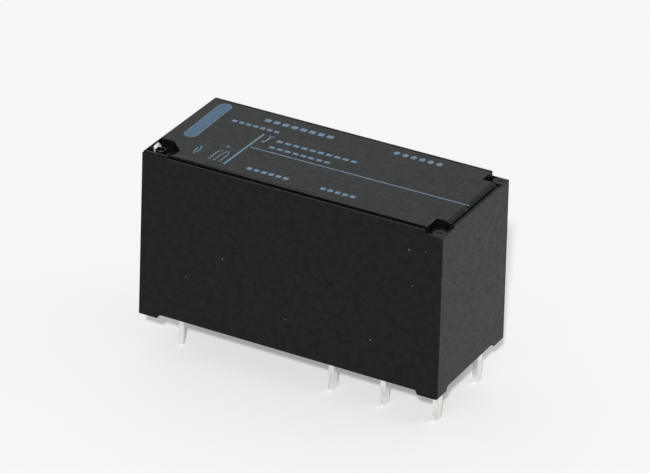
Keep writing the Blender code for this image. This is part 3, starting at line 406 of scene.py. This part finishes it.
def cut_rims(shell):
    """Lower the rims in front and at the right."""
    full_x, full_y = case_half(TOP_Z)
    high = TOP_Z + OVERSHOOT
    far_x = HALF_LENGTH + OVERSHOOT
    far_y = HALF_WIDTH + OVERSHOOT
    outer_x = full_x - RIGHT_GROOVE[0]
    front_y = FRONT_GROOVE[0] - full_y
    cut(shell, box(-far_x, far_x, -far_y, front_y + RIM_OVERLAP, TOP_Z - RIM_DROP, high),
        box(outer_x - RIM_OVERLAP, far_x, front_y, full_y - BACK_GROOVE[0],
            TOP_Z - RIGHT_RIM_DROP, high))


def cut_pocket(shell):
    """Vent pocket, a little smaller at its floor than at its rim."""
    rim = pocket_outline()
    middle_x = (rim[0][0] + rim[3][0]) / 2
    middle_y = (rim[0][1] + rim[5][1]) / 2
    floor = [(middle_x + (x - middle_x) * POCKET_DRAFT, middle_y + (y - middle_y) * POCKET_DRAFT)
             for x, y in rim]
    cut(shell, loft("pocket", [(TOP_Z - POCKET_DEPTH, floor), (TOP_Z + POCKET_RIM_LIFT, rim),
                               (TOP_Z + OVERSHOOT, rim)]))


def cut_corners(shell):
    """Lowered right-hand corners, each with its pit and its post's dimple."""
    full_x, full_y = case_half(TOP_Z)
    for side in (-1, 1):
        inner = side * (full_y - NOTCH_WIDTH)
        outer = side * (full_y + OVERSHOOT)
        cut(shell, box(full_x - NOTCH_LENGTH, full_x + OVERSHOOT, min(inner, outer),
                       max(inner, outer), TOP_Z - NOTCH_DROP, TOP_Z + OVERSHOOT),
            corner_pit(side), post_dimple(side))


def cut_feet(shell):
    """Raise the walls' lower edges between the four corner feet."""
    z0 = FEET_Z - OVERSHOOT
    z2 = FEET_Z + FOOT_HEIGHT
    for axis, half, reach in (("Y", HALF_LENGTH, HALF_WIDTH), ("X", HALF_WIDTH, HALF_LENGTH)):
        wide = half - FOOT_LENGTH
        narrow = wide - FOOT_SLANT
        outline = [(-wide, z0), (wide, z0), (wide, FEET_Z), (narrow, z2), (-narrow, z2),
                   (-wide, FEET_Z)]
        cut(shell, side_prism("foot_gap", outline, axis, reach + FOOT_TOOL_REACH))


def cut_cavity(shell):
    """Hollow the case out from below."""
    sections = [case_section(FEET_Z - OVERSHOOT, WALL, CAVITY_RADII),
                case_section(TOP_Z - ROOF, WALL, CAVITY_RADII)]
    cut(shell, loft("cavity", sections))


def soften(item, bevel, angle_deg=40.0):
    """Round off the sharp edges a little and shade the rest smooth."""
    modifier = item.modifiers.new("bevel", "BEVEL")
    modifier.width = bevel
    modifier.segments = 2
    modifier.limit_method = "ANGLE"
    modifier.angle_limit = math.radians(angle_deg)
    modifier.use_clamp_overlap = False
    modifier.miter_outer = "MITER_ARC"
    freeze(item)
    item.data.shade_smooth()
    weighted = item.modifiers.new("normals", "WEIGHTED_NORMAL")
    weighted.keep_sharp = False
    freeze(item)


def to_metres(item, material):
    """Scale a finished shape to metres and give it its material."""
    item.data.transform(Matrix.Scale(MM, 4))
    item.data.materials.clear()
    item.data.materials.append(material)
    return item


def case_moulding(material):
    """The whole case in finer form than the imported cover."""
    shell = case_shell()
    cut_grooves(shell)
    cut_right_groove(shell)
    cut_rims(shell)
    cut_pocket(shell)
    cut_corners(shell)
    cut_feet(shell)
    cut_cavity(shell)
    soften(shell, EDGE_BEVEL)
    return to_metres(shell, material)


def vent_ring(material):
    """Rounded ring on the pocket's floor."""
    half_x, half_y = case_half(TOP_Z)
    centre = Vector((VENT_PLACE[0] - half_x, VENT_PLACE[1] - half_y, TOP_Z - POCKET_DEPTH))
    lip = (VENT_RADIUS - VENT_BORE) / 2
    middle = (VENT_RADIUS + VENT_BORE) / 2
    profile = [(-VENT_SINK, 0.0), (-VENT_SINK, VENT_RADIUS)]
    for step in range(ROUND_STEPS + 1):
        angle = math.pi * step / ROUND_STEPS
        profile.append((VENT_HEIGHT - lip * (1 - math.sin(angle)), middle + lip * math.cos(angle)))
    profile += [(VENT_FLOOR, VENT_BORE), (VENT_FLOOR, 0.0)]
    ring = turned("vent_ring", profile, centre)
    ring.data.shade_smooth()
    ring.data.set_sharp_from_angle(angle=math.radians(50))
    return to_metres(ring, material)


def sealing_nib(material):
    """Clear drop of sealant between the vent ring and the pocket's left wall."""
    half_x, half_y = case_half(TOP_Z)
    shape = bmesh.new()
    bmesh.ops.create_icosphere(shape, subdivisions=4, radius=1.0)
    for vert in shape.verts:
        x, y, z = vert.co
        lump = 1 + 0.16 * math.sin(3.1 * x + 1) * math.cos(2.6 * y) + 0.08 * math.sin(5 * z + 2 * x)
        vert.co = (DROP_RADII[0] * x * lump, DROP_RADII[1] * y * lump, DROP_RADII[2] * z * lump)
    centre = (DROP_PLACE[0] - half_x, DROP_PLACE[1] - half_y, TOP_Z - DROP_DEPTH)
    shape.transform(Matrix.Translation(centre))
    nib = solid("sealant_drop", shape)
    nib.data.shade_smooth()
    return to_metres(nib, material)


def plate(name, outlines, material, thickness=PRINT_THICKNESS):
    """Thin printed shapes on the marking face."""
    shape = bmesh.new()
    for outline in outlines:
        low = [shape.verts.new((x, y, TOP_Z - PRINT_SINK)) for x, y in outline]
        high = [shape.verts.new((x, y, TOP_Z + thickness)) for x, y in outline]
        count = len(outline)
        for index in range(count):
            after = (index + 1) % count
            shape.faces.new((low[index], low[after], high[after], high[index]))
        shape.faces.new(list(reversed(low)))
        shape.faces.new(high)
    return to_metres(solid(name, shape), material)


def disc(x, y, radius_x, radius_y):
    """Outline of a round or oval dot."""
    angles = [step * 2 * math.pi / DISC_STEPS for step in range(DISC_STEPS)]
    return [(x + radius_x * math.cos(angle), y + radius_y * math.sin(angle)) for angle in angles]


def stroke(x0, y0, x1, y1, width):
    """Outline of a line between two points, with round ends."""
    turn = math.atan2(y1 - y0, x1 - x0)
    points = []
    for x, y, start in ((x1, y1, -0.5 * math.pi), (x0, y0, 0.5 * math.pi)):
        for step in range(ROUND_STEPS + 1):
            angle = turn + start + math.pi * step / ROUND_STEPS
            points.append((x + width / 2 * math.cos(angle), y + width / 2 * math.sin(angle)))
    return points


def dashes(x0, x1, y0, y1, count):
    """A row of plain bars in the place of a row of print."""
    pitch = (x1 - x0) / count
    height = (y1 - y0) * DASH_HEIGHT
    middle = (y0 + y1) / 2
    row = []
    for index in range(count):
        start = x0 + index * pitch
        row.append([(start, middle - height / 2), (start + pitch * DASH_FILL, middle - height / 2),
                    (start + pitch * DASH_FILL, middle + height / 2), (start, middle + height / 2)])
    return row


def printed_symbols():
    """Outlines of the small symbols."""
    symbols = [stroke(*mark) for mark in CONTACT_LINES]
    symbols += [disc(x, CONTACT_DOT_ROW, CONTACT_DOT_RADIUS, CONTACT_DOT_RADIUS)
                for x in CONTACT_DOT_PLACES]
    symbols += [stroke(*COIL_LINE), COIL_BOX]
    symbols += [stroke(*mark) for mark in HOOK_LINES]
    symbols += [disc(*HOOK_DOT), WEDGE]
    return symbols


def printed_marks(fill, line):
    """Plain shapes in the places of the printing: broad bar, lines, dots, symbols and rows."""
    bar = plate("printed_bar", [stroke(*BAR_LINE, BAR_WIDTH)], fill)
    edge = plate("printed_bar_edge", [stroke(*BAR_LINE, BAR_EDGE_WIDTH)], line,
                 thickness=BAR_EDGE_THICKNESS)
    shapes = [stroke(*mark) for mark in LONG_LINES]
    shapes += [disc(x, DOT_ROW, *DOT_RADII) for x in DOT_PLACES]
    lines = plate("printed_lines", shapes, line)
    drawn = [plate("printed_symbol_%02d" % index, [shape], line)
             for index, shape in enumerate(printed_symbols())]
    rows = [outline for row in PRINT_ROWS for outline in dashes(*row)]
    return [bar, edge, lines, plate("printed_rows", rows, line)] + drawn


def noise_texture(nodes, size, detail):
    """A noise with grains of about a size in millimetres."""
    node = nodes.new("ShaderNodeTexNoise")
    node.inputs["Scale"].default_value = 1 / (size * MM)
    node.inputs["Detail"].default_value = detail
    return node


def range_map(nodes, source, target):
    """A node that turns one range of values into another."""
    node = nodes.new("ShaderNodeMapRange")
    for name, value in zip(("From Min", "From Max", "To Min", "To Max"), (*source, *target)):
        node.inputs[name].default_value = value
    return node


def bump_node(nodes, strength, depth):
    """A relief of a depth in millimetres."""
    node = nodes.new("ShaderNodeBump")
    node.inputs["Strength"].default_value = strength
    node.inputs["Distance"].default_value = depth * MM
    return node


def noise_surface(name, dark, light, roughness, metallic=0.0, ior=1.45, size=0.3, bump=0.0,
                  bump_size=0.08, stretch=(1, 1, 1), spread=0.08, tint=(1, 1, 1)):
    """Procedural finish: two tones mixed by a fine noise, uneven gloss and a grain in the normal."""
    material = bpy.data.materials.new(name)
    material.use_nodes = True
    nodes = material.node_tree.nodes
    links = material.node_tree.links
    shader = nodes["Principled BSDF"]
    place = nodes.new("ShaderNodeTexCoord")
    mapping = nodes.new("ShaderNodeMapping")
    mapping.inputs["Scale"].default_value = stretch
    links.new(place.outputs["Object"], mapping.inputs["Vector"])
    tone = noise_texture(nodes, size, 4.0)
    links.new(mapping.outputs["Vector"], tone.inputs["Vector"])
    ramp = nodes.new("ShaderNodeValToRGB")
    ramp.color_ramp.elements[0].position = NOISE_MIDDLE[0]
    ramp.color_ramp.elements[1].position = NOISE_MIDDLE[1]
    ramp.color_ramp.elements[0].color = (*dark, 1)
    ramp.color_ramp.elements[1].color = (*light, 1)
    links.new(tone.outputs["Fac"], ramp.inputs["Fac"])
    links.new(ramp.outputs["Color"], shader.inputs["Base Color"])
    gloss = range_map(nodes, NOISE_MIDDLE, (roughness - spread, roughness + spread))
    links.new(tone.outputs["Fac"], gloss.inputs["Value"])
    links.new(gloss.outputs["Result"], shader.inputs["Roughness"])
    shader.inputs["Metallic"].default_value = metallic
    shader.inputs["IOR"].default_value = ior
    shader.inputs["Specular Tint"].default_value = (*tint, 1)
    if bump:
        grain = noise_texture(nodes, bump_size, 2.0)
        links.new(mapping.outputs["Vector"], grain.inputs["Vector"])
        relief = bump_node(nodes, bump, GRAIN_DEPTH)
        links.new(grain.outputs["Fac"], relief.inputs["Height"])
        links.new(relief.outputs["Normal"], shader.inputs["Normal"])
    return material


def coil_surface():
    """Close-wound enamelled wire: fine ridges round the coil's axis."""
    material = noise_surface("coil_wire", (0.32, 0.09, 0.03), (0.5, 0.17, 0.05), 0.3, 0.85,
                             size=0.6)
    nodes = material.node_tree.nodes
    links = material.node_tree.links
    place = nodes.new("ShaderNodeTexCoord")
    turns = nodes.new("ShaderNodeTexWave")
    turns.bands_direction = "X"
    turns.inputs["Scale"].default_value = 1 / (WIRE_PITCH * MM) / WAVES_PER_SCALE
    turns.inputs["Distortion"].default_value = 0.4
    turns.inputs["Detail"].default_value = 1.0
    links.new(place.outputs["Object"], turns.inputs["Vector"])
    relief = bump_node(nodes, 0.8, WIRE_DEPTH)
    links.new(turns.outputs["Fac"], relief.inputs["Height"])
    links.new(relief.outputs["Normal"], nodes["Principled BSDF"].inputs["Normal"])
    return material


def clear_surface():
    """Clear, slightly cloudy cured sealant."""
    material = noise_surface("clear_sealant", (0.55, 0.58, 0.6), (0.8, 0.82, 0.84), 0.15, size=0.2,
                             spread=0.05)
    material.node_tree.nodes["Principled BSDF"].inputs["Transmission Weight"].default_value = 0.75
    return material


def dress_nodes():
    """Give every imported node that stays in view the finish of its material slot."""
    finishes = {
        "base_plastic": noise_surface("base_plastic", (0.008, 0.008, 0.009), (0.014, 0.014, 0.015),
                                      0.45, bump=0.15),
        "resin": noise_surface("resin", (0.012, 0.011, 0.01), (0.03, 0.027, 0.024), 0.22, size=1.2,
                               bump=0.1, bump_size=1.5),
        "bobbin_plastic": noise_surface("bobbin_plastic", (0.62, 0.59, 0.5), (0.72, 0.69, 0.6),
                                        0.45, size=0.8, bump=0.1),
        "card_plastic": noise_surface("card_plastic", (0.74, 0.72, 0.66), (0.84, 0.82, 0.77), 0.4,
                                      size=0.8, bump=0.1),
        "enamelled_copper": coil_surface(),
        "soft_iron": noise_surface("soft_iron", (0.36, 0.36, 0.35), (0.52, 0.52, 0.5), 0.38, 1.0,
                                   size=0.5, stretch=(0.3, 1, 1), bump=0.2),
        "tinned_copper": noise_surface("tinned_copper", (0.7, 0.69, 0.66), (0.88, 0.87, 0.84), 0.3,
                                       1.0, size=0.4, stretch=(1, 1, 0.3), bump=0.25, bump_size=0.3),
        "copper_alloy": noise_surface("copper_alloy", (0.6, 0.35, 0.2), (0.75, 0.47, 0.28), 0.32,
                                      1.0, size=0.5, stretch=(1, 1, 0.25), bump=0.15),
        "spring_steel": noise_surface("spring_steel", (0.45, 0.45, 0.45), (0.6, 0.6, 0.6), 0.3, 1.0,
                                      size=0.4, stretch=(1, 1, 0.25), bump=0.15),
        "silver_alloy": noise_surface("silver_alloy", (0.72, 0.71, 0.67), (0.86, 0.85, 0.81), 0.35,
                                      1.0, size=0.3, bump=0.2),
    }
    slots = {part["node"]: part["material_slot"] for part in frame["record"]["subparts"]}
    for name, item in frame["nodes"].items():
        if slots[name] not in finishes:
            continue
        if not item.material_slots:
            item.data.materials.append(None)
        for place in item.material_slots:
            place.material = finishes[slots[name]]


def case_surface():
    """Moulded plastic: faint mottling in its sheen and a few specks of pale dust."""
    material = noise_surface("case_plastic", CASE_DARK, CASE_LIGHT, 0.38, ior=1.26, size=0.25,
                             bump=0.35, bump_size=0.1, tint=(0.9, 1.0, 1.02))
    nodes = material.node_tree.nodes
    links = material.node_tree.links
    shader = nodes["Principled BSDF"]
    place = nodes.new("ShaderNodeTexCoord")
    cloud = noise_texture(nodes, CASE_CLOUD, 5.0)
    links.new(place.outputs["Object"], cloud.inputs["Vector"])
    sheen = range_map(nodes, NOISE_MIDDLE, CASE_SHEEN)
    links.new(cloud.outputs["Fac"], sheen.inputs["Value"])
    links.new(sheen.outputs["Result"], shader.inputs["Specular IOR Level"])
    cells = nodes.new("ShaderNodeTexVoronoi")
    cells.inputs["Scale"].default_value = 1 / (DUST_SPACING * MM)
    links.new(place.outputs["Object"], cells.inputs["Vector"])
    speck = range_map(nodes, DUST_EDGE, (1.0, 0.0))
    links.new(cells.outputs["Distance"], speck.inputs["Value"])
    dust = nodes.new("ShaderNodeMix")
    dust.data_type = "RGBA"
    plastic = shader.inputs["Base Color"].links[0].from_socket
    links.new(speck.outputs["Result"], dust.inputs[0])
    links.new(plastic, dust.inputs[6])
    dust.inputs[7].default_value = DUST_COLOUR
    links.new(dust.outputs[2], shader.inputs["Base Color"])
    return material


def build_case():
    """Dress the case: the moulding in place of the cover, its vent ring, sealant and print."""
    black = case_surface()
    fill = noise_surface("print_fill", (0.0024, 0.013, 0.03), (0.041, 0.068, 0.1), 0.5, ior=1.25,
                         size=0.16, bump=0.2)
    line = noise_surface("print_line", (0.03, 0.052, 0.076), (0.06, 0.09, 0.115), 0.5, ior=1.25,
                         size=0.3, bump=0.2)
    pieces = [case_moulding(black), vent_ring(black)]
    for piece in pieces:
        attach(piece, "case")
    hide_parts("cover")
    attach(sealing_nib(clear_surface()), "case")
    for marks in printed_marks(fill, line):
        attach(marks, "case")


def set_stage():
    """Pale floor, a white surround, two wide lamps and a narrow one beside the camera."""
    shape = bmesh.new()
    corners = [(x * FLOOR_REACH, y * FLOOR_REACH) for x, y in ((-1, -1), (1, -1), (1, 1), (-1, 1))]
    shape.faces.new([shape.verts.new((x, y, 0.0)) for x, y in corners])
    floor = solid("floor", shape)
    paper = noise_surface("light_table", (0.195, 0.195, 0.196), (0.205, 0.205, 0.206), 0.9, ior=1.2,
                          size=400)
    glow = paper.node_tree.nodes["Principled BSDF"]
    glow.inputs["Emission Color"].default_value = (1.0, 1.0, 1.0, 1)
    glow.inputs["Emission Strength"].default_value = FLOOR_GLOW
    to_metres(floor, paper)
    bpy.context.scene.world = surround()
    for lamp in LAMPS:
        distant_lamp(*lamp)


def surround():
    """White surround, brighter overhead."""
    world = bpy.data.worlds.new("surround")
    world.use_nodes = True
    nodes = world.node_tree.nodes
    links = world.node_tree.links
    place = nodes.new("ShaderNodeTexCoord")
    height = nodes.new("ShaderNodeSeparateXYZ")
    links.new(place.outputs["Generated"], height.inputs["Vector"])
    level = range_map(nodes, SURROUND_HEIGHTS, SURROUND_LEVELS)
    links.new(height.outputs["Z"], level.inputs["Value"])
    links.new(level.outputs["Result"], nodes["Background"].inputs["Strength"])
    nodes["Background"].inputs["Color"].default_value = (1.0, 1.0, 1.0, 1)
    return world


def distant_lamp(name, azimuth, elevation, strength, spread):
    """A lamp far away: azimuth 0 shines from -Y and 90 from +X, and a wide spread is soft."""
    lamp = bpy.data.lights.new(name, "SUN")
    lamp.energy = strength
    lamp.angle = math.radians(spread)
    item = bpy.data.objects.new(name, lamp)
    bpy.context.scene.collection.objects.link(item)
    turn = Matrix.Rotation(math.radians(azimuth), 4, "Z")
    item.matrix_world = turn @ Matrix.Rotation(math.radians(90 - elevation), 4, "X")


def set_camera():
    """The photograph's viewpoint, fitted to the case's corners and the pin roots."""
    azimuth = math.radians(CAMERA_AZIMUTH)
    elevation = math.radians(CAMERA_ELEVATION)
    roll = math.radians(CAMERA_ROLL)
    target = Vector(CAMERA_TARGET) * MM
    back = Vector((math.sin(azimuth) * math.cos(elevation),
                   -math.cos(azimuth) * math.cos(elevation), math.sin(elevation)))
    right = Vector((0, 0, 1)).cross(back).normalized()
    up = back.cross(right)
    rolled_right = right * math.cos(roll) + up * math.sin(roll)
    rolled_up = up * math.cos(roll) - right * math.sin(roll)
    lens = bpy.data.cameras.new("photo_camera")
    lens.lens = CAMERA_LENS
    lens.sensor_width = CAMERA_SENSOR
    lens.clip_start = CAMERA_NEAR
    camera = bpy.data.objects.new("photo_camera", lens)
    bpy.context.scene.collection.objects.link(camera)
    turn = Matrix((rolled_right, rolled_up, back)).transposed().to_4x4()
    camera.matrix_world = Matrix.Translation(target + back * CAMERA_DISTANCE * MM) @ turn
    bpy.context.scene.camera = camera


dress_nodes()
build_case()
set_stage()
set_camera()
bpy.context.scene.view_settings.view_transform = "Standard"
